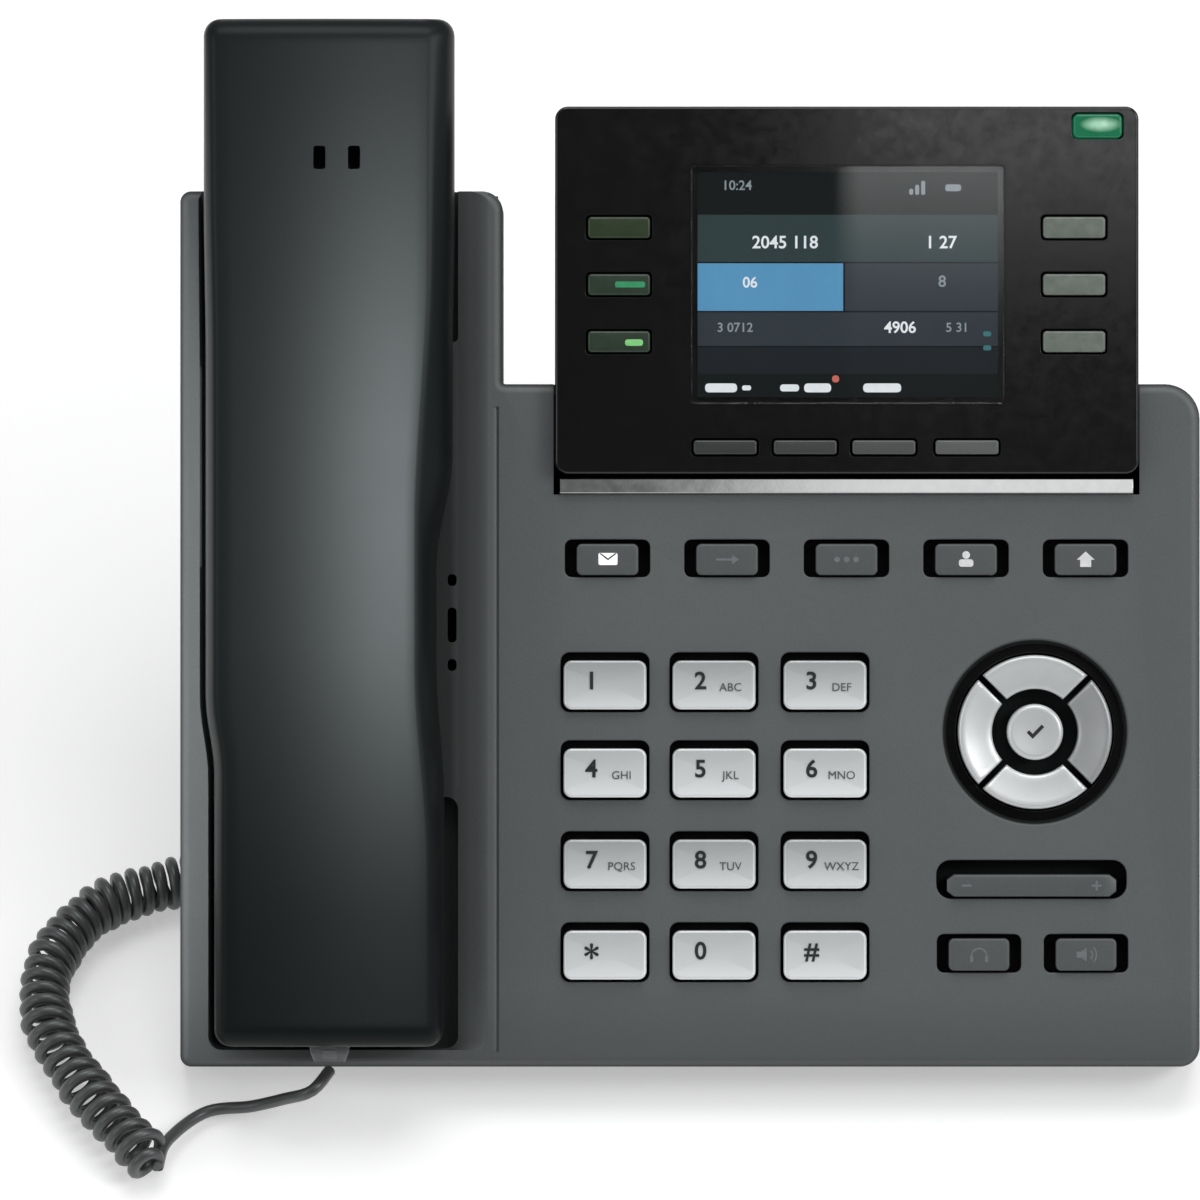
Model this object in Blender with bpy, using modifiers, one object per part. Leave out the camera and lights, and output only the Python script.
"""Desk IP phone: wedge base on a rear stand, corded handset on the left,
raised display, dial keys, navigation cluster, volume rocker and coiled cord.

Sizes are millimetres. Unless marked as world, x, y and z are those of the face frame,
carried by the empty "face_frame": x right across the face, y up along it, z out of it.
World: metres, +Z up, origin on the desk under the middle of the front foot strip,
front at -Y.
"""

import itertools
import math
from typing import NamedTuple

import bmesh
import bpy
from mathutils import Matrix, Vector


class Rect(NamedTuple):
    """Rectangle on the face."""

    left: float
    bottom: float
    right: float
    top: float

    def inset(self, margin):
        """Smaller by a margin on every side, or larger if it is negative."""
        return Rect(
            self.left + margin, self.bottom + margin, self.right - margin, self.top - margin
        )

    def corners(self):
        return [
            (self.left, self.bottom),
            (self.right, self.bottom),
            (self.right, self.top),
            (self.left, self.top),
        ]


# ---------------------------------------------------------------- shared dimensions
MM = 0.001
TILT = math.radians(40.0)  # face angle above the desk
FACE_Y = -16.4  # world y of the bottom edge of the face
FACE_Z = 11.96  # world z of the same edge
LAND_HEIGHT = 2.0  # housing's lowest land above the desk

BASE_HALF = 102.0  # half width of the base
MAIN_TOP = 136.6  # top of the key field
CRADLE_TOP = 175.2  # top of the cradle column
CRADLE_RIGHT = -37.4  # right side of the cradle column
PARTING_Z = -12.0  # front and rear housings meet here
PARTING_GAP = 0.15  # each half stops this far short of its parting plane
REAR_Z = -26.0  # rear face of the base
WALL = 2.2
FACE_WALL = 2.5

BEZEL = Rect(-27.0, 118.6, 89.6, 192.0)
BEZEL_FRONT = 4.0
BEZEL_BACK = -5.0
DISPLAY_REAR = -15.0
SCREEN = Rect(1.0, 133.4, 62.0, 179.4)
STATUS_LED = Rect(76.5, 185.7, 86.3, 190.5)

HANDSET_X = -72.0
HOOK_SWITCH = Rect(-76.0, 134.0, -68.0, 140.0)
CORD_SOCKET = Rect(-84.6, 54.6, -76.4, 62.4)  # through the rear wall, behind the cradle

# sockets in the upper wall of the port recess
SMALL_PORT = (8.0, 7.0, -23.0, -17.0)  # housing width, jack width, low z, high z
LARGE_PORT = (12.4, 11.6, -23.6, -15.8)
PORTS = (
    (-34, SMALL_PORT),
    (-17, LARGE_PORT),
    (1, LARGE_PORT),
    (19, SMALL_PORT),
    (33, SMALL_PORT),
)

STAND_HOOK_X = (-45, 45)
STAND_HOOK_Y = (49.0, 73.0)

# side, x, y, then the z where the front boss, its bore and the screw shaft end
SCREWS = (
    ("left", -92.0, 30.0, -9.0, -8.4, -8.9),
    ("right", 95.2, 30.0, -1.0, -4.0, -5.0),
)

# cutters run past the surfaces they open
IN_FRONT = 5
FAR_IN_FRONT = 10
BEHIND = -20
FAR_BEHIND = -40

GREY = (0.110, 0.118, 0.120)
CHARCOAL = (0.030, 0.034, 0.035)
GLOSS = (0.012, 0.012, 0.012)
SILVER = (0.62, 0.64, 0.64)
BLACK = (0.02, 0.02, 0.02)
SPEAKER_BLACK = (0.05, 0.05, 0.05)
CLEAR_PLASTIC = (0.7, 0.72, 0.74)
GLOW_STRENGTH = 0.6


# ---------------------------------------------------------------- key layout
class KeyStyle(NamedTuple):
    """Shape of a cap, its hidden flange and its opening."""

    width: float
    height: float
    top: float
    foot: float
    corner: float
    hole_corner: float
    gaps: tuple  # opening clearance at each side, below and above
    flange: tuple  # flange reach at each side, below and above
    flange_top: float
    colour: tuple
    roughness: float
    corner_steps: int = 3
    origin_z: float = None  # top of the cap unless given


DIAL_KEY = KeyStyle(
    width=16.6, height=9.8, top=1.8, foot=-4.8, corner=1.6, hole_corner=1.8,
    gaps=(0.55, 0.5, 1.6), flange=(1.3, 1.3, 2.2), flange_top=-2.8,
    colour=SILVER, roughness=0.35,
)
FUNCTION_KEY = KeyStyle(
    width=12.4, height=6.3, top=1.2, foot=-4.8, corner=1.0, hole_corner=1.4,
    gaps=(2.3, 0.35, 0.8), flange=(3.1, 1.2, 1.7), flange_top=-2.8,
    colour=GREY, roughness=0.5,
)
LOWER_KEY = FUNCTION_KEY._replace(width=12.2, height=6.5)
SOFT_KEY = KeyStyle(
    width=12.6, height=2.8, top=BEZEL_FRONT + 0.9, foot=-0.6, corner=0.6, hole_corner=1.0,
    gaps=(0.45, 0.45, 0.45), flange=(0.6, 0.6, 0.6), flange_top=1.5,
    colour=(0.2, 0.2, 0.2), roughness=0.3,
)
LINE_KEY = SOFT_KEY._replace(width=12.4, height=4.2, colour=(0.2, 0.22, 0.2))
ROCKER = KeyStyle(
    width=33.8, height=4.5, top=1.4, foot=-4.6, corner=1.0, hole_corner=2.8,
    gaps=(2.1, 0.35, 2.8), flange=(2.9, 1.0, 3.5), flange_top=-3.9,
    colour=GREY, roughness=0.5, corner_steps=2, origin_z=-2.0,
)

DIAL_LABELS = ("1", "2", "3", "4", "5", "6", "7", "8", "9", "star", "0", "hash")
DIAL_X = (-17.0, 4.8, 27.0)
DIAL_Y = (76.4, 58.8, 40.6, 22.4)
FUNCTION_PITCH = 23.9
FUNCTION_X = [-16.5 + FUNCTION_PITCH * column for column in range(5)]
FUNCTION_Y = 101.5
LOWER_X = (57.8, 79.2)
LOWER_Y = 22.5
SOFT_X = (7.0, 23.0, 38.7, 55.3)
SOFT_Y = 123.9
LINE_X = (-14.2, 76.7)
LINE_PITCH = 11.4
LINE_Y = [167.8 - LINE_PITCH * row for row in range(3)]
LINE_PLACES = [(x, y) for x in LINE_X for y in LINE_Y]
ROCKER_CENTRE = (68.3, 36.3)

NAV_CENTRE = (69.0, 67.0)
NAV_INNER = 8.6
NAV_OUTER = 15.4
NAV_SEAT_RADIUS = 20.6
NAV_WELL_RADIUS = 18.2
NAV_SIDES = 40
NAV_TOP = 1.6
NAV_FOOT = -5.0
OK_RADIUS = 5.6

# ---------------------------------------------------------------- scene
for old in list(bpy.data.objects):
    bpy.data.objects.remove(old, do_unlink=True)

parts = bpy.data.collections.new("desk_ip_phone")
cutters = bpy.data.collections.new("cutters")
bpy.context.scene.collection.children.link(parts)
bpy.context.scene.collection.children.link(cutters)

face = bpy.data.objects.new("face_frame", None)
face.location = (0.0, FACE_Y * MM, FACE_Z * MM)
face.rotation_euler = (TILT, 0.0, 0.0)
parts.objects.link(face)
bpy.context.view_layer.update()
FACE_MATRIX = face.matrix_world.copy()


def to_world(x, y, z):
    """World point (m) of a face-frame point."""
    return FACE_MATRIX @ Vector((x * MM, y * MM, z * MM))


# ---------------------------------------------------------------- finished pieces
def material(name, colour, roughness, metallic=0.0, emission=None):
    mat = bpy.data.materials.new(name)
    mat.use_nodes = True
    shader = mat.node_tree.nodes["Principled BSDF"]
    shader.inputs["Base Color"].default_value = (*colour, 1.0)
    shader.inputs["Roughness"].default_value = roughness
    shader.inputs["Metallic"].default_value = metallic
    if emission:
        shader.inputs["Emission Color"].default_value = (*emission, 1.0)
        shader.inputs["Emission Strength"].default_value = GLOW_STRENGTH
    return mat


def move_to(obj, collection):
    for current in list(obj.users_collection):
        current.objects.unlink(obj)
    collection.objects.link(obj)


def add(obj, name, parent=face, **finish):
    """Name a finished piece, give it its own material and set its parent."""
    obj.name = name
    obj.data.name = name
    obj.data.materials.clear()
    obj.data.materials.append(material(name, **finish))
    move_to(obj, parts)
    obj.parent = parent


# ---------------------------------------------------------------- mesh helpers
def mesh_of(shape):
    mesh = bpy.data.meshes.new("solid")
    shape.to_mesh(mesh)
    shape.free()
    return mesh


def solid(shape, origin=(0.0, 0.0, 0.0), parent=face):
    """Object from a bmesh, with its faces turned outward."""
    bmesh.ops.recalc_face_normals(shape, faces=shape.faces)
    obj = bpy.data.objects.new("solid", mesh_of(shape))
    obj.location = Vector(origin) * MM
    obj.parent = parent
    bpy.context.scene.collection.objects.link(obj)
    return obj


def merged_shape(obj):
    """Bmesh of an object as evaluated, with coincident points merged."""
    bpy.context.view_layer.update()
    graph = bpy.context.evaluated_depsgraph_get()
    mesh = bpy.data.meshes.new_from_object(obj.evaluated_get(graph))
    shape = bmesh.new()
    shape.from_mesh(mesh)
    bpy.data.meshes.remove(mesh)
    bmesh.ops.remove_doubles(shape, verts=shape.verts, dist=1e-6)
    return shape


def bake(obj):
    """Apply the modifiers, so that the result can join or cut another piece."""
    mesh = mesh_of(merged_shape(obj))
    obj.modifiers.clear()
    obj.data = mesh


def poly_curve(points, dimensions):
    """Curve of straight segments through points given in metres."""
    curve = bpy.data.curves.new("guide", "CURVE")
    curve.dimensions = dimensions
    spline = curve.splines.new("POLY")
    spline.points.add(len(points) - 1)
    for point, place in zip(spline.points, points):
        point.co = (*place, 1.0)
    return curve


def curve_shape(curve):
    """Bmesh of the surface that a curve makes."""
    guide = bpy.data.objects.new("guide", curve)
    bpy.context.scene.collection.objects.link(guide)
    shape = merged_shape(guide)
    bpy.data.objects.remove(guide)
    return shape


def smooth(obj, angle=35):
    obj.data.shade_smooth()
    obj.data.set_sharp_from_angle(angle=math.radians(angle))


def bevel(obj, width, segments=2, angle=40):
    mod = obj.modifiers.new("bevel", "BEVEL")
    mod.width = width * MM
    mod.segments = segments
    mod.limit_method = "ANGLE"
    mod.angle_limit = math.radians(angle)


cutter_numbers = itertools.count(1)


def boolean(target, tool, operation, name=None):
    """Boolean modifier with a tool, which is hidden and numbered unless named."""
    tool.name = name or f"cutter_{next(cutter_numbers):03d}"
    move_to(tool, cutters)
    tool.hide_render = True
    tool.display_type = "WIRE"
    mod = target.modifiers.new(operation.lower(), "BOOLEAN")
    mod.operation = operation
    mod.solver = "EXACT"
    mod.object = tool


def cut(target, tool, name=None):
    boolean(target, tool, "DIFFERENCE", name)


def join(target, tool):
    boolean(target, tool, "UNION")


# ---------------------------------------------------------------- solids
def fillet(points, radii, steps=4):
    """Round the corners of a closed outline, one radius for each corner."""
    outline = []
    for i, (point, radius) in enumerate(zip(points, radii)):
        corner = Vector(point)
        back = (Vector(points[i - 1]) - corner).normalized()
        ahead = (Vector(points[(i + 1) % len(points)]) - corner).normalized()
        if radius <= 0:
            outline.append((corner.x, corner.y))
            continue
        half = back.angle(ahead) / 2
        reach = radius / math.tan(half)
        centre = corner + (back + ahead).normalized() * (radius / math.sin(half))
        start = corner + back * reach - centre
        end = corner + ahead * reach - centre
        turn = start.angle_signed(end)
        for k in range(steps + 1):
            spoke = start.copy()
            spoke.rotate(Matrix.Rotation(-turn * k / steps, 2))
            outline.append((centre.x + spoke.x, centre.y + spoke.y))
    return outline


def prism(outline, start, end, origin=(0.0, 0.0, 0.0), axis="z"):
    """Closed solid from a flat outline.

    axis "z": outline is (x, y), extruded from z = start to z = end.
    axis "x": outline is (y, z), extruded from x = start to x = end.
    """
    curve = poly_curve([(x * MM, y * MM, 0.0) for x, y in outline], "2D")
    curve.fill_mode = "BOTH"
    curve.splines[0].use_cyclic_u = True
    curve.extrude = abs(end - start) / 2 * MM
    shape = curve_shape(curve)
    bmesh.ops.dissolve_limit(shape, angle_limit=0.001, verts=shape.verts, edges=shape.edges)
    shift = Matrix.Translation((0, 0, (start + end) / 2 * MM))
    if axis == "x":
        shift = Matrix(((0, 0, 1, 0), (1, 0, 0, 0), (0, 1, 0, 0), (0, 0, 0, 1))) @ shift
    place = Matrix.Translation(-Vector(origin) * MM) @ shift
    bmesh.ops.transform(shape, matrix=place, verts=shape.verts)
    return solid(shape, origin)


def prism_along_y(outline, start, end):
    """Closed solid from an (x, z) outline, extruded from y = start to y = end."""
    obj = prism(outline, -end, -start)
    obj.data.transform(Matrix.Rotation(math.pi / 2, 4, "X"))
    return obj


def plate(rect, z0, z1, corner=0.0, steps=3, origin=(0.0, 0.0, 0.0)):
    """Prism over a rectangle with rounded corners."""
    return prism(fillet(rect.corners(), [corner] * 4, steps), z0, z1, origin)


def cylinder(radius, z0, z1, centre, sides=32, origin=None):
    """Closed cylinder along z; its origin is its middle unless given."""
    shape = bmesh.new()
    bmesh.ops.create_cone(
        shape,
        cap_ends=True,
        segments=sides,
        radius1=radius * MM,
        radius2=radius * MM,
        depth=abs(z1 - z0) * MM,
    )
    middle = Vector((*centre, (z0 + z1) / 2))
    base = Vector(origin) if origin else middle
    bmesh.ops.translate(shape, vec=(middle - base) * MM, verts=shape.verts)
    obj = solid(shape, base)
    smooth(obj)
    return obj


def block(low, high, origin=None):
    """Box between two corners; its origin is its middle unless given."""
    shape = bmesh.new()
    bmesh.ops.create_cube(shape, size=1.0)
    middle = Vector([(a + b) / 2 for a, b in zip(low, high)])
    base = Vector(origin) if origin else middle
    size = [(b - a) * MM for a, b in zip(low, high)]
    bmesh.ops.scale(shape, vec=size, verts=shape.verts)
    bmesh.ops.translate(shape, vec=(middle - base) * MM, verts=shape.verts)
    return solid(shape, base)


def slab(rect, z0, z1, origin=None):
    """Square-cornered block over a rectangle."""
    return block((rect.left, rect.bottom, z0), (rect.right, rect.top, z1), origin)


def loft(sections):
    """Closed solid through (y, [(x, z), ...]) sections with equal point counts."""
    shape = bmesh.new()
    rings = [
        [shape.verts.new((x * MM, y * MM, z * MM)) for x, z in section]
        for y, section in sections
    ]
    for near, far in zip(rings, rings[1:]):
        for k in range(len(near)):
            j = (k + 1) % len(near)
            shape.faces.new((near[k], near[j], far[j], far[k]))
    shape.faces.new(rings[0])
    shape.faces.new(rings[-1])
    return solid(shape)


def key_rect(x, y, style, margins):
    """Rectangle round a cap, with margins at each side, below and above."""
    side, below, above = margins
    return Rect(
        x - style.width / 2 - side,
        y - style.height / 2 - below,
        x + style.width / 2 + side,
        y + style.height / 2 + above,
    )


def opening(body, x, y, style):
    """Hole for a key."""
    rect = key_rect(x, y, style, style.gaps)
    cut(body, plate(rect, BEHIND, IN_FRONT, style.hole_corner, steps=2))


# ---------------------------------------------------------------- base
BASE_RADII = (2.2, 4.0, 7.0, 0.0, 4.2, 2.2)  # from the lower left corner, anticlockwise


def base_outline(inset=0.0):
    """Plan of the base: key field plus the taller cradle column on the left."""
    right = BASE_HALF - inset
    main_top = MAIN_TOP - inset
    column_right = CRADLE_RIGHT - inset
    column_top = CRADLE_TOP - inset
    corners = [
        (-right, inset),
        (right, inset),
        (right, main_top),
        (column_right, main_top),
        (column_right, column_top),
        (-right, column_top),
    ]
    shrink = max(0.4, 1 - inset / 6)
    return fillet(corners, [radius * shrink for radius in BASE_RADII], 3)


def desk_box(height):
    """Box under a world-level plane at this height above the desk."""
    shape = bmesh.new()
    bmesh.ops.create_cube(shape, size=1.0)
    bmesh.ops.scale(shape, vec=(0.3, 0.2, 0.06), verts=shape.verts)
    bmesh.ops.translate(shape, vec=(0, 0.0506, -0.03), verts=shape.verts)
    return solid(shape, (0, 0, height), parent=None)


# ---------------------------------------------------------------- rear housing
PORT_WALLS = Rect(-47, 84, 47, 112.4)
PORT_RECESS = Rect(-45, 86, 45, 110.2)
PORT_WALLS_FRONT = -13.4
PORT_RECESS_FLOOR = -15.4
CORD_SOCKET_WALL = 2.0
REAR_CUT = (REAR_Z - 3, REAR_Z + 5)  # z range of cutters through the rear wall
KEYHOLE_X = (-70, 70)
KEYHOLE_Y = (118, 127)  # round centre and slot end
KEYHOLE_RADIUS = 4.2
KEYHOLE_SLOT_HALF = 2.1
VENT_COUNT = 6
VENT_PITCH = 9
VENT_FIRST_X = -22.5
VENT_HALF = 1.2
VENT_Y = (22, 36)


def rear_shell():
    """Open-fronted shell of the base and of the display module's back."""
    body = prism(base_outline(), REAR_Z, PARTING_Z - PARTING_GAP)
    back = Rect(BEZEL.left + 0.8, MAIN_TOP - 3.2, BEZEL.right - 0.8, BEZEL.top - 0.8)
    back_outline = fillet(back.corners(), [0, 0, 3, 3], 3)
    join(body, prism(back_outline, DISPLAY_REAR, BEZEL_BACK - PARTING_GAP))
    # the lowest edge is cut off level with the desk
    cut(body, desk_box(LAND_HEIGHT), "cutter_desk_outer")
    bake(body)

    hollow = prism(base_outline(WALL), REAR_Z + WALL, IN_FRONT)
    cut(hollow, desk_box(LAND_HEIGHT + WALL), "cutter_desk_inner")
    bake(hollow)
    cut(body, hollow)
    display_hollow = Rect(
        BEZEL.left + 2.8, MAIN_TOP - 20, BEZEL.right - 2.8, BEZEL.top - 2.8
    )
    cut(body, plate(display_hollow, DISPLAY_REAR + WALL, IN_FRONT, 2.0))
    # the front housing's top wall passes here, so the rear one stops under it
    step = Rect(CRADLE_RIGHT - WALL, MAIN_TOP - 14, BASE_HALF + 4, MAIN_TOP + 0.3)
    cut(body, slab(step, PARTING_Z - PARTING_GAP, 0))
    bake(body)
    return body


def cut_ports(body):
    """Port recess with its own walls and sockets, and the handset cord socket."""
    join(body, slab(PORT_WALLS, REAR_Z + 0.8, PORT_WALLS_FRONT))
    bake(body)
    cut(body, slab(PORT_RECESS, REAR_Z - 5, PORT_RECESS_FLOOR))
    for x, (width, _, low, high) in PORTS:
        cut(body, block((x - width / 2, 105, low), (x + width / 2, 116, high)))
    join(body, slab(CORD_SOCKET.inset(-CORD_SOCKET_WALL), REAR_Z + 1, -16.0))
    bake(body)
    cut(body, slab(CORD_SOCKET, REAR_Z - 3, -18.0))


def cut_rear_wall(body):
    """Stand slots, keyholes, vents and screw bores."""
    for x in STAND_HOOK_X:
        for y in STAND_HOOK_Y:
            cut(body, slab(Rect(x - 4.6, y - 9.6, x + 4.6, y + 1.5), *REAR_CUT))
    low, high = KEYHOLE_Y
    for x in KEYHOLE_X:
        cut(body, cylinder(KEYHOLE_RADIUS, *REAR_CUT, (x, low), sides=20))
        slot = Rect(x - KEYHOLE_SLOT_HALF, low, x + KEYHOLE_SLOT_HALF, high)
        cut(body, slab(slot, *REAR_CUT))
    low, high = VENT_Y
    for k in range(VENT_COUNT):
        x = VENT_FIRST_X + VENT_PITCH * k
        cut(body, slab(Rect(x - VENT_HALF, low, x + VENT_HALF, high), *REAR_CUT))
    for _, x, y, *_ in SCREWS:
        cut(body, cylinder(1.9, FAR_BEHIND, 0, (x, y), sides=16))


def make_rear_housing():
    body = rear_shell()
    cut_ports(body)
    cut_rear_wall(body)
    add(body, "rear_housing", colour=GREY, roughness=0.6)


# ---------------------------------------------------------------- front housing
SADDLE_Z = -2.6  # cradle floor between the wells
WELL_Z = -7.4  # floor of the cradle wells
CRADLE_CUT_Z = 3  # front of the cradle cutters
CRADLE_BOTTOM = 3.4
CRADLE_CUT_TOP = CRADLE_TOP + 6  # past the open upper end
CRADLE_PLAN = [
    (-96.2, CRADLE_BOTTOM),
    (-45.8, CRADLE_BOTTOM),
    (-45.8, CRADLE_CUT_TOP),
    (-98.0, CRADLE_CUT_TOP),
    (-98.0, 73.0),
    (-96.2, 59.0),
]
# (x, z) section of the long slope at the right of the cradle floor
CRADLE_SLOPE = [
    (-46.6, SADDLE_Z + 0.8),
    (-45.79, SADDLE_Z + 0.01),
    (-40.6, 0.8),
    (-40.6, CRADLE_CUT_Z),
    (-46.6, CRADLE_CUT_Z),
]
# rectangle and corner radius; the upper well is open at the top
WELLS = (
    (Rect(-96.0, 3.6, -46.2, 54.0), 2.6),
    (Rect(-97.8, 145.0, -46.2, CRADLE_CUT_TOP), 0.0),
)
TAB_POCKET = Rect(-78.4, 108.0, -65.6, 128.0)
# y centre and length of the small slots at the right of the cradle
CRADLE_SLOTS = ((97.4, 2.4), (88.4, 7.0), (80.4, 2.4))


def front_shell():
    """Face wall and side walls, rounded only along the face edge."""
    body = prism(base_outline(), PARTING_Z - 8, 0.0)
    bevel(body, 1.6, segments=3, angle=60)
    bake(body)
    # the parting edge is cut square
    cut(body, slab(Rect(-120, -20, 120, 200), FAR_BEHIND, PARTING_Z + PARTING_GAP))
    bake(body)
    cut(body, prism(base_outline(WALL), FAR_BEHIND, -FACE_WALL))
    # thicker face where the cradle is sunk into it
    under = Rect(-BASE_HALF + 1, 1.0, CRADLE_RIGHT - 1.0, CRADLE_TOP - 1.0)
    join(body, slab(under, -10.0, -1.0))
    bake(body)
    return body


def cut_display_seat(body):
    seat_top = MAIN_TOP + 5
    seat = Rect(BEZEL.left - 0.3, BEZEL.bottom - 4.4, BEZEL.right + 0.3, seat_top)
    cut(body, slab(seat, -8, IN_FRONT))
    gate = Rect(BEZEL.left + 3, MAIN_TOP - 8, BEZEL.right - 3, seat_top)
    cut(body, slab(gate, -16, IN_FRONT))


def cut_cradle(body):
    """Saddle between two deeper wells, and the groove beside the column."""
    cut(body, prism(CRADLE_PLAN, SADDLE_Z, CRADLE_CUT_Z))
    cut(body, prism_along_y(CRADLE_SLOPE, CRADLE_BOTTOM, CRADLE_CUT_TOP))
    for rect, corner in WELLS:
        cut(body, plate(rect, WELL_Z, CRADLE_CUT_Z, corner))
    cut(body, slab(Rect(-38.9, 4.0, -38.1, MAIN_TOP - 6), -0.7, CRADLE_CUT_Z))


def cut_key_openings(body):
    for x in DIAL_X:
        for y in DIAL_Y:
            opening(body, x, y, DIAL_KEY)
    for x in FUNCTION_X:
        opening(body, x, FUNCTION_Y, FUNCTION_KEY)
    for x in LOWER_X:
        opening(body, x, LOWER_Y, LOWER_KEY)
    opening(body, *ROCKER_CENTRE, ROCKER)
    cut(body, cylinder(NAV_WELL_RADIUS, -2.0, IN_FRONT, NAV_CENTRE, NAV_SIDES))
    cut(body, cylinder(NAV_OUTER + 0.5, BEHIND, IN_FRONT, NAV_CENTRE, NAV_SIDES))


def cut_cradle_openings(body):
    """Hook switch hole, tab pocket and small slots."""
    cut(body, slab(HOOK_SWITCH.inset(-0.3), BEHIND, IN_FRONT))
    cut(body, slab(TAB_POCKET, -5.2, IN_FRONT))
    for y, length in CRADLE_SLOTS:
        slot = Rect(-48.6, y - length / 2, -46.6, y + length / 2)
        cut(body, slab(slot, BEHIND, IN_FRONT))


def add_screw_bosses(body):
    bake(body)
    for _, x, y, boss_top, _, _ in SCREWS:
        join(body, cylinder(3.2, PARTING_Z + 0.4, boss_top, (x, y), sides=16))
    bake(body)
    for _, x, y, _, bore_end, _ in SCREWS:
        cut(body, cylinder(1.6, FAR_BEHIND, bore_end, (x, y), sides=16))


def make_front_housing():
    body = front_shell()
    cut_display_seat(body)
    cut_cradle(body)
    bake(body)
    # thicker face under the navigation keys
    join(body, cylinder(NAV_SEAT_RADIUS, -4.0, -1.0, NAV_CENTRE, NAV_SIDES))
    bake(body)
    cut_key_openings(body)
    cut_cradle_openings(body)
    add_screw_bosses(body)
    add(body, "front_housing", colour=GREY, roughness=0.55)


# ---------------------------------------------------------------- display
def make_bezel():
    bezel = plate(BEZEL, BEZEL_BACK, BEZEL_FRONT, 2.6)
    bevel(bezel, 1.0, angle=60)
    bake(bezel)
    cut(bezel, plate(BEZEL.inset(1.8), BEHIND, BEZEL_FRONT - 2.2, 1.6))
    # seat for the window, then the screen hole through its floor
    seat = SCREEN.inset(-1.0)
    cut(bezel, plate(seat, BEZEL_FRONT - 1.0, FAR_IN_FRONT, 0.8, steps=2))
    cut(bezel, slab(SCREEN.inset(0.6), BEHIND, FAR_IN_FRONT))
    for x, y in LINE_PLACES:
        opening(bezel, x, y, LINE_KEY)
    for x in SOFT_X:
        opening(bezel, x, SOFT_Y, SOFT_KEY)
    cut(bezel, slab(STATUS_LED.inset(-0.3), BEHIND, FAR_IN_FRONT))
    add(bezel, "display_bezel", colour=GLOSS, roughness=0.12)


def make_window():
    pane = SCREEN.inset(-0.7)
    window = plate(pane, BEZEL_FRONT - 0.7, BEZEL_FRONT - 0.05, 0.6, steps=2)
    add(window, "display_window", colour=(0.02, 0.025, 0.03), roughness=0.05)


def make_lcd_panel():
    """Panel behind the window, on a carrier that fills the bezel."""
    rect = Rect(SCREEN.left - 1.6, SCREEN.bottom - 2.6, SCREEN.right + 1.6, SCREEN.top + 1.6)
    panel = slab(rect, -4.0, 1.2)
    join(panel, slab(BEZEL.inset(2.4), -4.6, -3.4))
    add(
        panel, "lcd_panel",
        colour=(0.05, 0.12, 0.2), roughness=0.2, emission=(0.1, 0.3, 0.5),
    )


def make_bezel_trim():
    """Bright strip along the lower edge of the bezel."""
    rect = Rect(BEZEL.left + 1.0, BEZEL.bottom - 3.6, BEZEL.right - 1.0, BEZEL.bottom - 0.5)
    trim = slab(rect, -5.0, 1.6)
    bevel(trim, 0.5)
    add(trim, "bezel_trim", colour=(0.8, 0.8, 0.8), roughness=0.22, metallic=1.0)


def make_status_led():
    led = plate(STATUS_LED, -2.0, BEZEL_FRONT + 0.3, 1.0)
    add(
        led, "status_led",
        colour=(0.05, 0.4, 0.15), roughness=0.3, emission=(0.1, 0.8, 0.3),
    )


# ---------------------------------------------------------------- keys
def make_key(name, x, y, style):
    """Cap whose flange, behind the face wall, keeps it in its opening."""
    origin_z = style.top if style.origin_z is None else style.origin_z
    rect = key_rect(x, y, style, (0, 0, 0))
    cap = plate(
        rect, style.foot, style.top, style.corner, style.corner_steps, (x, y, origin_z)
    )
    bevel(cap, 0.5, angle=60)
    bake(cap)
    join(cap, slab(key_rect(x, y, style, style.flange), style.foot, style.flange_top))
    add(cap, name, colour=style.colour, roughness=style.roughness)


def ring_sector(inner, outer, middle, gap, steps=8):
    """Quarter of the navigation ring about an angle in degrees.

    Its straight sides stay parallel to those of its neighbours, a gap apart.
    """
    outline = []
    for radius, direction in ((outer, 1), (inner, -1)):
        half = math.radians(45) - math.asin(gap / 2 / radius)
        for k in range(steps + 1):
            angle = math.radians(middle) + direction * half * (2 * k / steps - 1)
            x = NAV_CENTRE[0] + radius * math.cos(angle)
            y = NAV_CENTRE[1] + radius * math.sin(angle)
            outline.append((x, y))
    return outline


def make_nav_key(name, middle):
    mean_radius = (NAV_INNER + NAV_OUTER) / 2
    x = NAV_CENTRE[0] + mean_radius * math.cos(math.radians(middle))
    y = NAV_CENTRE[1] + mean_radius * math.sin(math.radians(middle))
    outline = ring_sector(NAV_INNER, NAV_OUTER, middle, gap=1.3)
    sector = prism(outline, NAV_FOOT, NAV_TOP, (x, y, NAV_TOP))
    bevel(sector, 0.5, segments=1, angle=60)
    bake(sector)
    flange = ring_sector(NAV_INNER + 1, NAV_OUTER + 1.2, middle, gap=2.6, steps=6)
    join(sector, prism(flange, -5.2, -4.3))
    add(sector, f"nav_key_{name}", colour=SILVER, roughness=0.35)
    smooth(sector)


def make_ok_key():
    button = cylinder(OK_RADIUS, NAV_FOOT, NAV_TOP, NAV_CENTRE, origin=(*NAV_CENTRE, NAV_TOP))
    bevel(button, 0.6, angle=60)
    add(button, "ok_key", colour=SILVER, roughness=0.35)


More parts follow.
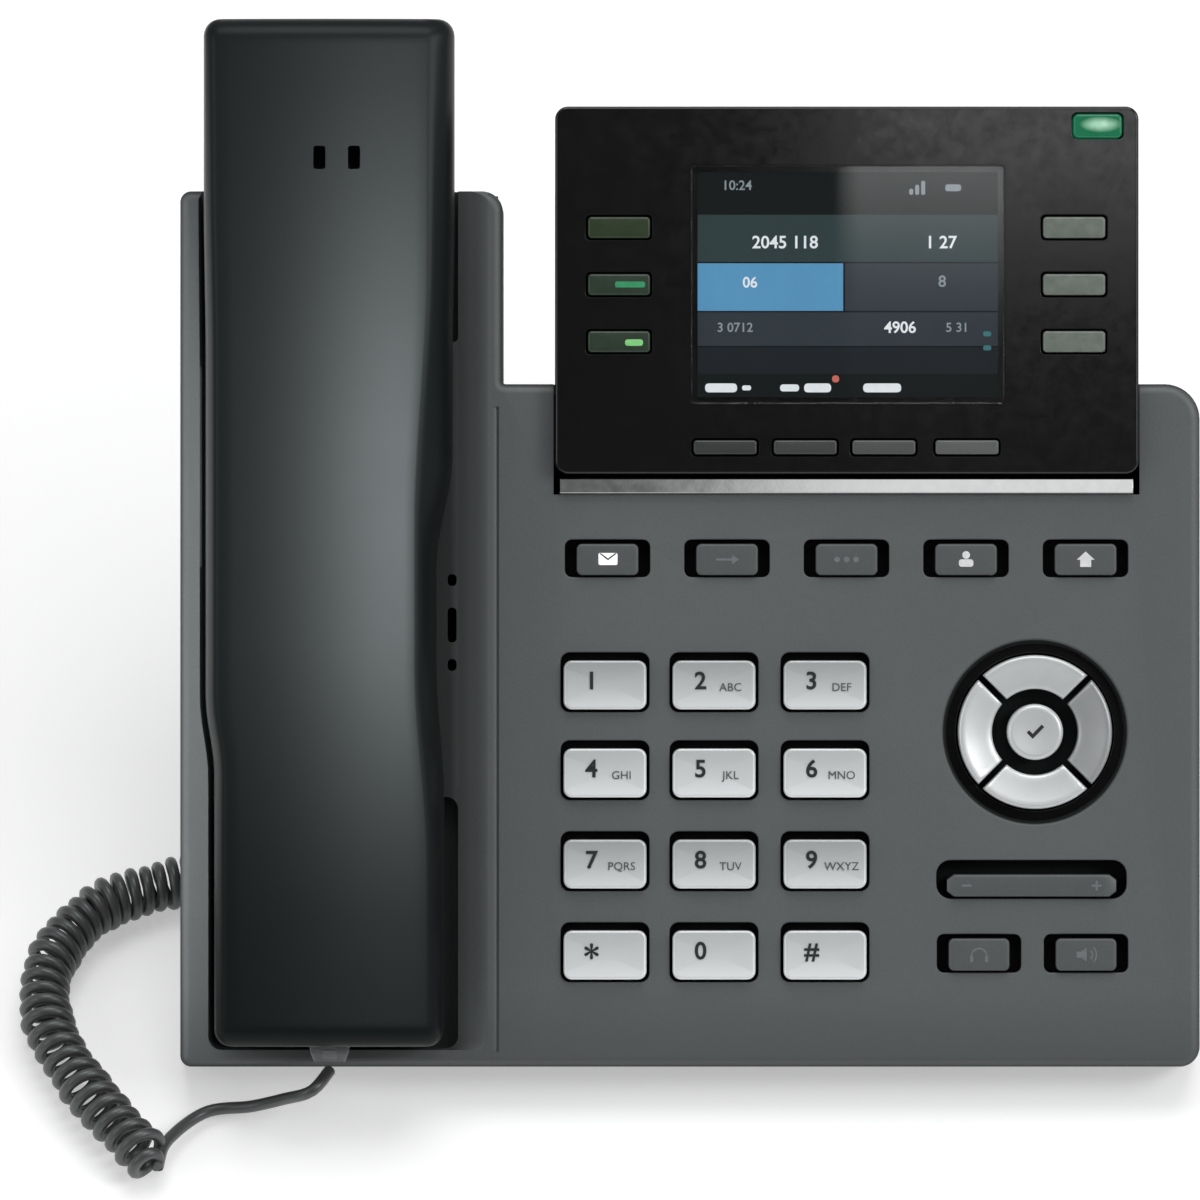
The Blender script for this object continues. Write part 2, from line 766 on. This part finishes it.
def make_keys():
    dial_places = [(x, y) for y in DIAL_Y for x in DIAL_X]
    for label, (x, y) in zip(DIAL_LABELS, dial_places):
        make_key(f"key_{label}", x, y, DIAL_KEY)
    for number, x in enumerate(FUNCTION_X, 1):
        make_key(f"function_key_{number}", x, FUNCTION_Y, FUNCTION_KEY)
    for name, x in zip(("headset_key", "speaker_key"), LOWER_X):
        make_key(name, x, LOWER_Y, LOWER_KEY)
    for number, x in enumerate(SOFT_X, 1):
        make_key(f"soft_key_{number}", x, SOFT_Y, SOFT_KEY)
    for number, (x, y) in enumerate(LINE_PLACES, 1):
        make_key(f"line_key_{number}", x, y, LINE_KEY)
    for name, middle in (("right", 0), ("up", 90), ("left", 180), ("down", 270)):
        make_nav_key(name, middle)
    make_ok_key()
    make_key("volume_rocker", *ROCKER_CENTRE, ROCKER)


# ---------------------------------------------------------------- inside
JACK_INSET_Z = 0.6  # jack cavities are this much shallower than the housing's at each side


def make_main_board():
    board = slab(Rect(-34, 8, 91, 112), -9.6, -8.0)
    add(board, "main_board", colour=(0.02, 0.14, 0.06), roughness=0.5)


def make_keypad_membrane():
    sheet = slab(Rect(-30, 12, 90, 108), -7.7, -6.5)
    add(sheet, "keypad_membrane", colour=(0.5, 0.5, 0.5), roughness=0.7)


def make_loudspeaker():
    speaker = cylinder(18.0, -22.6, -13.0, (-70, 88))
    add(speaker, "loudspeaker", colour=SPEAKER_BLACK, roughness=0.6)


def make_jack_block():
    jacks = slab(Rect(-40, 113.0, 38, 127.0), -23.2, -12.6)
    for x, (_, width, low, high) in PORTS:
        rect = Rect(x - width / 2, 110, x + width / 2, 124)
        cut(jacks, slab(rect, low + JACK_INSET_Z, high - JACK_INSET_Z))
    add(jacks, "jack_block", colour=BLACK, roughness=0.5)


def make_hook_switch():
    """Rounded plunger in the cradle floor, with a flange at its rear end."""
    plunger = slab(HOOK_SWITCH, -15.2, 1.6, (HANDSET_X, 137, 1.6))
    bevel(plunger, 1.0, segments=3, angle=60)
    bake(plunger)
    join(plunger, slab(Rect(-77.6, 133.0, -66.4, 141.0), -15.4, -14.3))
    add(plunger, "hook_switch", colour=GREY, roughness=0.5)


def make_hook_tab():
    tab = slab(Rect(-77.6, 108.4, -66.4, 121.4), -4.9, -2.7, (HANDSET_X, 115, -2.7))
    bevel(tab, 0.4, segments=1)
    add(tab, "handset_hook_tab", colour=GREY, roughness=0.5)


def make_screw(side, x, y, shaft_end):
    """Slotted head behind the rear wall and a shaft that runs into the front boss."""
    head = cylinder(3.2, REAR_Z - 1.9, REAR_Z - 0.3, (x, y), sides=20)
    join(head, cylinder(1.3, REAR_Z - 0.6, shaft_end, (x, y), sides=12))
    bake(head)
    slot = Rect(x - 0.4, y - 2.2, x + 0.4, y + 2.2)
    cut(head, slab(slot, REAR_Z - 3, REAR_Z - 1.2))
    add(head, f"housing_screw_{side}", colour=(0.6, 0.6, 0.62), roughness=0.3, metallic=1.0)


# ---------------------------------------------------------------- handset
HANDSET_LOW = 4.4
HANDSET_HIGH = 209.2
HANDSET_TOP_Z = 20.0
HANDSET_CROWN = 3.0  # drop of the outer face from the middle to either end
FACE_CROWN = 1.1  # drop of the outer face from its centre line to its edges
HANDSET_SIDE_Z = 11.5  # top of the upright side wall, where the long bevels start
HANDSET_PART_Z = 7.0
CUP_Z = -6.4  # rear face of the ear and mouth cups
SHELL_WALL = 2.0
END_RADIUS = 3.4  # plan rounding at both ends
TOP_END_RADIUS = 4.0  # rounding of the outer face at both ends

# half widths at the lower end, then changes as (gain, start y, end y)
SIDE_HALF = 22.9
SIDE_SWELLS = ((1.7, 59, 74), (0.4, 140, 175))
FACE_HALF = 20.5
FACE_SWELLS = ((-2.4, 40, 80), (2.4, 108, 160))

HANDSET_STATIONS = [
    4.4, 5.0, 6.4, 8.6, 20.0, 40.0, 56.0, 62.0, 67.0, 73.0,
    90.0, 110.0, 132.0, 150.0, 175.0, 205.0, 207.2, 208.6, 209.2,
]
# (y, z) side profile of the inner shell, with a corner radius for each point
INNER_PROFILE = [
    (HANDSET_LOW, HANDSET_PART_Z, 0),
    (HANDSET_LOW, CUP_Z + 4, 3),
    (9.0, CUP_Z, 4),
    (46.0, CUP_Z, 4),
    (56.0, 2.4, 6),
    (142.6, 2.4, 6),
    (152.6, CUP_Z, 4),
    (202.0, CUP_Z, 5),
    (HANDSET_HIGH, CUP_Z + 6, 3),
    (HANDSET_HIGH, HANDSET_PART_Z, 0),
]
CORE_FLOOR = CUP_Z + 2.2
# (y, z) side profile of its hollow, which follows the outside
CORE_PROFILE = [
    (HANDSET_LOW + SHELL_WALL, 20),
    (HANDSET_LOW + SHELL_WALL, CUP_Z + 6),
    (10.5, CORE_FLOOR),
    (44.5, CORE_FLOOR),
    (54.8, 4.6),
    (143.8, 4.6),
    (154.0, CORE_FLOOR),
    (200.5, CORE_FLOOR),
    (HANDSET_HIGH - SHELL_WALL, CUP_Z + 8),
    (HANDSET_HIGH - SHELL_WALL, 20),
]
CORE_HALF = 18.6
# (x, z) section of the cutter that leans the right flank in, x from the foot line
FLANK = [
    (-3.4, CUP_Z - 2),
    (1.6, HANDSET_PART_Z - 2.2),
    (30, HANDSET_PART_Z - 2.2),
    (30, CUP_Z - 2),
]
FLANK_X = 25.0 - 1.6  # foot line from the middle of the handset
RECEIVER_Y = 180
MICROPHONE_Y = 26


def swell(y, base, swells):
    """Base value plus each gain, eased in between its two y places."""
    total = base
    for gain, start, end in swells:
        t = min(max((y - start) / (end - start), 0.0), 1.0)
        total += gain * (t * t * (3 - 2 * t))
    return total


def end_round(y, radius):
    """How far an edge of this radius pulls in near either end of the handset."""
    depth = min(y - HANDSET_LOW, HANDSET_HIGH - y)
    if depth >= radius:
        return 0.0
    return radius - math.sqrt(max(radius * radius - (radius - depth) ** 2, 0.0))


def handset_half(y):
    """Half width at the parting line: the mouth end is slimmer than the ear end."""
    return swell(y, SIDE_HALF, SIDE_SWELLS) - end_round(y, END_RADIUS)


def face_half(y):
    """Half width of the crowned outer face, waisted over the grip."""
    width = swell(y, FACE_HALF, FACE_SWELLS) - end_round(y, END_RADIUS)
    return min(width, handset_half(y) - 0.8)


def handset_top(y):
    along = (y - HANDSET_LOW) / (HANDSET_HIGH - HANDSET_LOW)
    crown = HANDSET_CROWN * (2 * along - 1) ** 2
    return HANDSET_TOP_Z - crown - end_round(y, TOP_END_RADIUS)


def handset_outline():
    """Plan of the handset at its parting line."""
    side = [(handset_half(y), y) for y in HANDSET_STATIONS]
    right = [(HANDSET_X + x, y) for x, y in side]
    left = [(HANDSET_X - x, y) for x, y in reversed(side)]
    return right + left


def handset_section(y, inset, bottom):
    """Cross-section of the outer shell: upright wall, long bevel, crowned face."""
    wall_x = handset_half(y) - inset
    face_x = face_half(y) - inset
    top = handset_top(y) - inset
    edge = top - FACE_CROWN
    side = min(HANDSET_SIDE_Z, edge - 1.2)
    right = [
        (wall_x, bottom),
        (wall_x, side),
        ((wall_x + face_x) / 2 + 0.35, (side + edge) / 2 + 0.5),
        (face_x, edge),
    ]
    right += [(face_x * k, top - FACE_CROWN * k * k) for k in (0.66, 0.33)]
    section = [(HANDSET_X + x, z) for x, z in right]
    section.append((HANDSET_X, top))
    return section + [(HANDSET_X - x, z) for x, z in reversed(right)]


def make_outer_shell():
    bottom = HANDSET_PART_Z + PARTING_GAP
    outer = loft([(y, handset_section(y, 0.0, bottom)) for y in HANDSET_STATIONS])
    stations = [HANDSET_LOW + SHELL_WALL, 9.0]
    stations += [y for y in HANDSET_STATIONS if 12 < y < 204]
    stations += [204.6, HANDSET_HIGH - SHELL_WALL]
    cut(outer, loft([(y, handset_section(y, SHELL_WALL, -5.0)) for y in stations]))
    # two short slots near the upper end
    for x in (HANDSET_X - 2.9, HANDSET_X + 2.9):
        cut(outer, slab(Rect(x - 1.0, 180.4, x + 1.0, 184.4), 10, 30))
    add(outer, "handset_outer_shell", colour=CHARCOAL, roughness=0.3)


def make_inner_shell():
    """Half that faces the cradle: side profile with two cups, cut to the plan outline."""
    points = [(y, z) for y, z, _ in INNER_PROFILE]
    radii = [radius for _, _, radius in INNER_PROFILE]
    inner = prism(fillet(points, radii, 2), HANDSET_X - 40, HANDSET_X + 40, axis="x")
    plan = prism(handset_outline(), BEHIND, HANDSET_PART_Z - PARTING_GAP)
    boolean(inner, plan, "INTERSECT")
    bake(inner)
    # flanks lean in so that the grip sits inside the cradle
    for side in (-1, 1):
        lean = prism_along_y([(side * x, z) for x, z in FLANK], -20, 240)
        lean.location = ((HANDSET_X + side * FLANK_X) * MM, 0, 0)
        cut(inner, lean)
    bake(inner)
    cut(inner, prism(CORE_PROFILE, HANDSET_X - CORE_HALF, HANDSET_X + CORE_HALF, axis="x"))
    # sound slots of the ear cup, then of the mouth cup
    for k in range(3):
        y = RECEIVER_Y + 4 * (k - 1)
        cut(inner, slab(Rect(HANDSET_X - 5, y - 0.8, HANDSET_X + 5, y + 0.8), -12, 0))
    mouth = Rect(HANDSET_X - 2, MICROPHONE_Y - 0.8, HANDSET_X + 2, MICROPHONE_Y + 0.8)
    cut(inner, slab(mouth, -12, 0))
    # cord socket in the lower end
    cut(inner, slab(Rect(HANDSET_X - 4.4, 0, HANDSET_X + 4.4, 12), 0.2, 5.8))
    add(inner, "handset_inner_shell", colour=CHARCOAL, roughness=0.4)


def make_receiver():
    receiver = cylinder(15.0, -3.8, 4.0, (HANDSET_X, RECEIVER_Y))
    add(receiver, "handset_receiver", colour=SPEAKER_BLACK, roughness=0.6)


def make_microphone():
    microphone = cylinder(4.8, -3.8, 1.4, (HANDSET_X, MICROPHONE_Y), sides=20)
    add(microphone, "handset_microphone", colour=SPEAKER_BLACK, roughness=0.6)


# ---------------------------------------------------------------- cord
COIL_RADIUS = 4.1  # centreline radius of the coil
WIRE_RADIUS = 1.25
COIL_TURNS = 26
TURN_STEPS = 8
RAMP_TURNS = 0.8  # turns over which the coil grows from the lead, and shrinks back
PLUG_CENTRE = (-80.5, 58.5)

# paths as face x, face y and height above the desk (see on_desk)
COIL_PATH = (
    (-97.5, 37.4, 6.2), (-106.0, 35.6, 6.0), (-119.5, 31.0, 6.0), (-128.6, 20.5, 6.0),
    (-129.0, 8.6, 6.0), (-121.8, -3.4, 6.0), (-112.6, -13.4, 6.0), (-106.2, -19.6, 6.0),
)
HANDSET_LEAD_PATH = (
    COIL_PATH[-1], (-104.4, -14.6, 4.2), (-97.0, -9.2, 2.6),
    (-88.0, -8.0, 4.4), (-81.4, -6.4, 9.0), (-75.6, -4.6, 14.6),
)


def catmull(points, steps):
    """Smooth curve through 3-D points, with this many steps in each span."""
    padded = [points[0], *points, points[-1]]
    curve = []
    for before, start, end, after in zip(padded, padded[1:], padded[2:], padded[3:]):
        for k in range(steps):
            t = k / steps
            curve.append(
                0.5
                * (
                    (2 * start)
                    + (end - before) * t
                    + (2 * before - 5 * start + 4 * end - after) * t * t
                    + (3 * start - before - 3 * end + after) * t**3
                )
            )
    curve.append(points[-1])
    return curve


def on_desk(x, y, height):
    """World point (m) at this height that covers face point (x, y), seen square to the face."""
    world_y = (y - (height - FACE_Z) * math.sin(TILT)) / math.cos(TILT)
    return Vector((x * MM, (FACE_Y + world_y) * MM, height * MM))


def resample(points, count):
    """Points evenly spaced along a polyline."""
    lengths = [0.0]
    for start, end in zip(points, points[1:]):
        lengths.append(lengths[-1] + (end - start).length)
    spaced = []
    j = 0
    for k in range(count):
        distance = lengths[-1] * k / (count - 1)
        while j < len(points) - 2 and lengths[j + 1] < distance:
            j += 1
        t = (distance - lengths[j]) / max(lengths[j + 1] - lengths[j], 1e-9)
        spaced.append(points[j].lerp(points[j + 1], min(t, 1.0)))
    return spaced


def base_lead():
    """From the base plug down to the desk."""
    plug = to_world(*PLUG_CENTRE, REAR_Z - 5.6)
    points = [
        plug,
        to_world(*PLUG_CENTRE, REAR_Z - 11.0),
        Vector((-0.0835, plug.y + 0.0085, 0.0135)),
        Vector((-0.0900, plug.y + 0.0040, 0.0080)),
        on_desk(*COIL_PATH[0]),
    ]
    return resample(catmull(points, 6), 9)


def coil():
    count = COIL_TURNS * TURN_STEPS + 1
    line = resample(catmull([on_desk(*place) for place in COIL_PATH], 16), count)
    up = Vector((0, 0, 1))
    wire = []
    for k, centre in enumerate(line):
        ahead = line[min(k + 1, count - 1)]
        tangent = (ahead - line[max(k - 1, 0)]).normalized()
        side = tangent.cross(up).normalized()
        lift = side.cross(tangent).normalized()
        t = k / (count - 1)
        ramp = min(1.0, t * COIL_TURNS / RAMP_TURNS, (1 - t) * COIL_TURNS / RAMP_TURNS)
        angle = 2 * math.pi * COIL_TURNS * t - math.pi / 2
        spoke = side * math.cos(angle) + lift * math.sin(angle)
        wire.append(centre + COIL_RADIUS * MM * ramp * spoke)
    return wire


def handset_lead():
    """From the coil up to the lower end of the handset."""
    points = [on_desk(*place) for place in HANDSET_LEAD_PATH]
    points.append(to_world(HANDSET_X, -0.6, 3.0))
    return resample(catmull(points, 6), 12)


def make_cord():
    curve = poly_curve(base_lead()[:-1] + coil() + handset_lead()[1:], "3D")
    curve.bevel_depth = WIRE_RADIUS * MM
    curve.bevel_resolution = 1
    curve.use_fill_caps = True
    cord = solid(curve_shape(curve), parent=None)
    add(cord, "handset_cord", parent=None, colour=BLACK, roughness=0.45)
    smooth(cord, 60)


def make_cord_plugs():
    handset_plug = Rect(HANDSET_X - 4, 1.2, HANDSET_X + 4, 11.4)
    for name, rect, z0, z1 in (
        ("base", CORD_SOCKET.inset(0.4), REAR_Z - 5.2, REAR_Z + 6.0),
        ("handset", handset_plug, 0.6, 5.4),
    ):
        plug = slab(rect, z0, z1)
        bevel(plug, 0.4, segments=1)
        add(plug, f"cord_plug_{name}", colour=CLEAR_PLASTIC, roughness=0.15)


# ---------------------------------------------------------------- stand and feet
STAND_BACK = REAR_Z - 0.3  # face of the stand against the rear housing
STAND_HALF = 58
STAND_FOOT_Y = (95.2, 104.6)  # world y of the leg's foot
STAND_FOOT_Z = 2.0  # world z of the leg's foot
STAND_WINDOW_HALF = 38
# world (y, z) corners of the leg window
STAND_WINDOW = ((70.6, 14), (130.6, 14), (130.6, 90), (70.6, 90))
HOOK_SEAT = REAR_Z + WALL + 0.5  # the hooks' turned-up ends start at this z
HOOK_TOP = REAR_Z + WALL + 2.1
HOOK_HALF = 4
FOOT_HEIGHT = 1.7
# name, half width, world y of the middle, depth
FEET = (
    ("front_foot", 78.0, 0.0, 8.0),
    ("rear_foot", 52.0, sum(STAND_FOOT_Y) / 2, 7.0),
)


def side_point(y, z):
    """Face-frame (y, z) of a world (y, z), both in millimetres."""
    point = FACE_MATRIX.inverted() @ Vector((0, y * MM, z * MM))
    return point.y / MM, point.z / MM


def stand_hook(x, y):
    """Neck through the rear wall with an end turned up behind it, inside the housing."""
    outline = [
        (y - 3.4, STAND_BACK - 1.0),
        (y + 1.0, STAND_BACK - 1.0),
        (y + 1.0, HOOK_SEAT),
        (y + 6.0, HOOK_SEAT),
        (y + 6.0, HOOK_TOP),
        (y - 3.4, HOOK_TOP),
    ]
    return prism(outline, x - HOOK_HALF, x + HOOK_HALF, axis="x")


def make_stand():
    """Pad against the rear housing and a leg to the desk."""
    foot_in, foot_out = (side_point(y, STAND_FOOT_Z) for y in STAND_FOOT_Y)
    profile = fillet(
        [
            (38.0, STAND_BACK),
            (38.0, STAND_BACK - 3.0),
            (89.5, STAND_BACK - 3.0),
            foot_in,
            foot_out,
            (96.5, STAND_BACK),
        ],
        [0.5, 1.5, 2.0, 1.0, 1.5, 2.0],
        3,
    )
    body = prism(profile, -STAND_HALF, STAND_HALF, (0, 66, STAND_BACK), axis="x")
    # a wide window leaves two legs and the foot bar, and is kept clear of the pad
    outline = [side_point(y, z) for y, z in STAND_WINDOW]
    window = prism(outline, -STAND_WINDOW_HALF, STAND_WINDOW_HALF, axis="x")
    cut(window, slab(Rect(-60, 30, 60, 86), STAND_BACK - 3.4, IN_FRONT))
    bake(window)
    cut(body, window)
    # rounded window in the pad
    cut(body, plate(Rect(-34, 46, 34, 78), STAND_BACK - 6, STAND_BACK + 3, 3))
    bake(body)
    for x in STAND_HOOK_X:
        for y in STAND_HOOK_Y:
            join(body, stand_hook(x, y))
    bake(body)
    add(body, "stand", colour=GREY, roughness=0.6)


def make_feet():
    """Rubber strips on the desk, placed in world axes."""
    for name, half, y, depth in FEET:
        strip = slab(Rect(-half, y - depth / 2, half, y + depth / 2), 0.0, FOOT_HEIGHT)
        bevel(strip, 0.5, segments=1)
        add(strip, name, parent=None, colour=BLACK, roughness=0.9)


# ---------------------------------------------------------------- build
make_rear_housing()
make_front_housing()
make_bezel()
make_window()
make_lcd_panel()
make_bezel_trim()
make_status_led()
make_keys()
make_main_board()
make_keypad_membrane()
make_loudspeaker()
make_jack_block()
make_hook_switch()
make_hook_tab()
for screw_side, screw_x, screw_y, _, _, screw_end in SCREWS:
    make_screw(screw_side, screw_x, screw_y, screw_end)
make_outer_shell()
make_inner_shell()
make_receiver()
make_microphone()
make_cord()
make_cord_plugs()
make_stand()
make_feet()
bpy.context.view_layer.update()
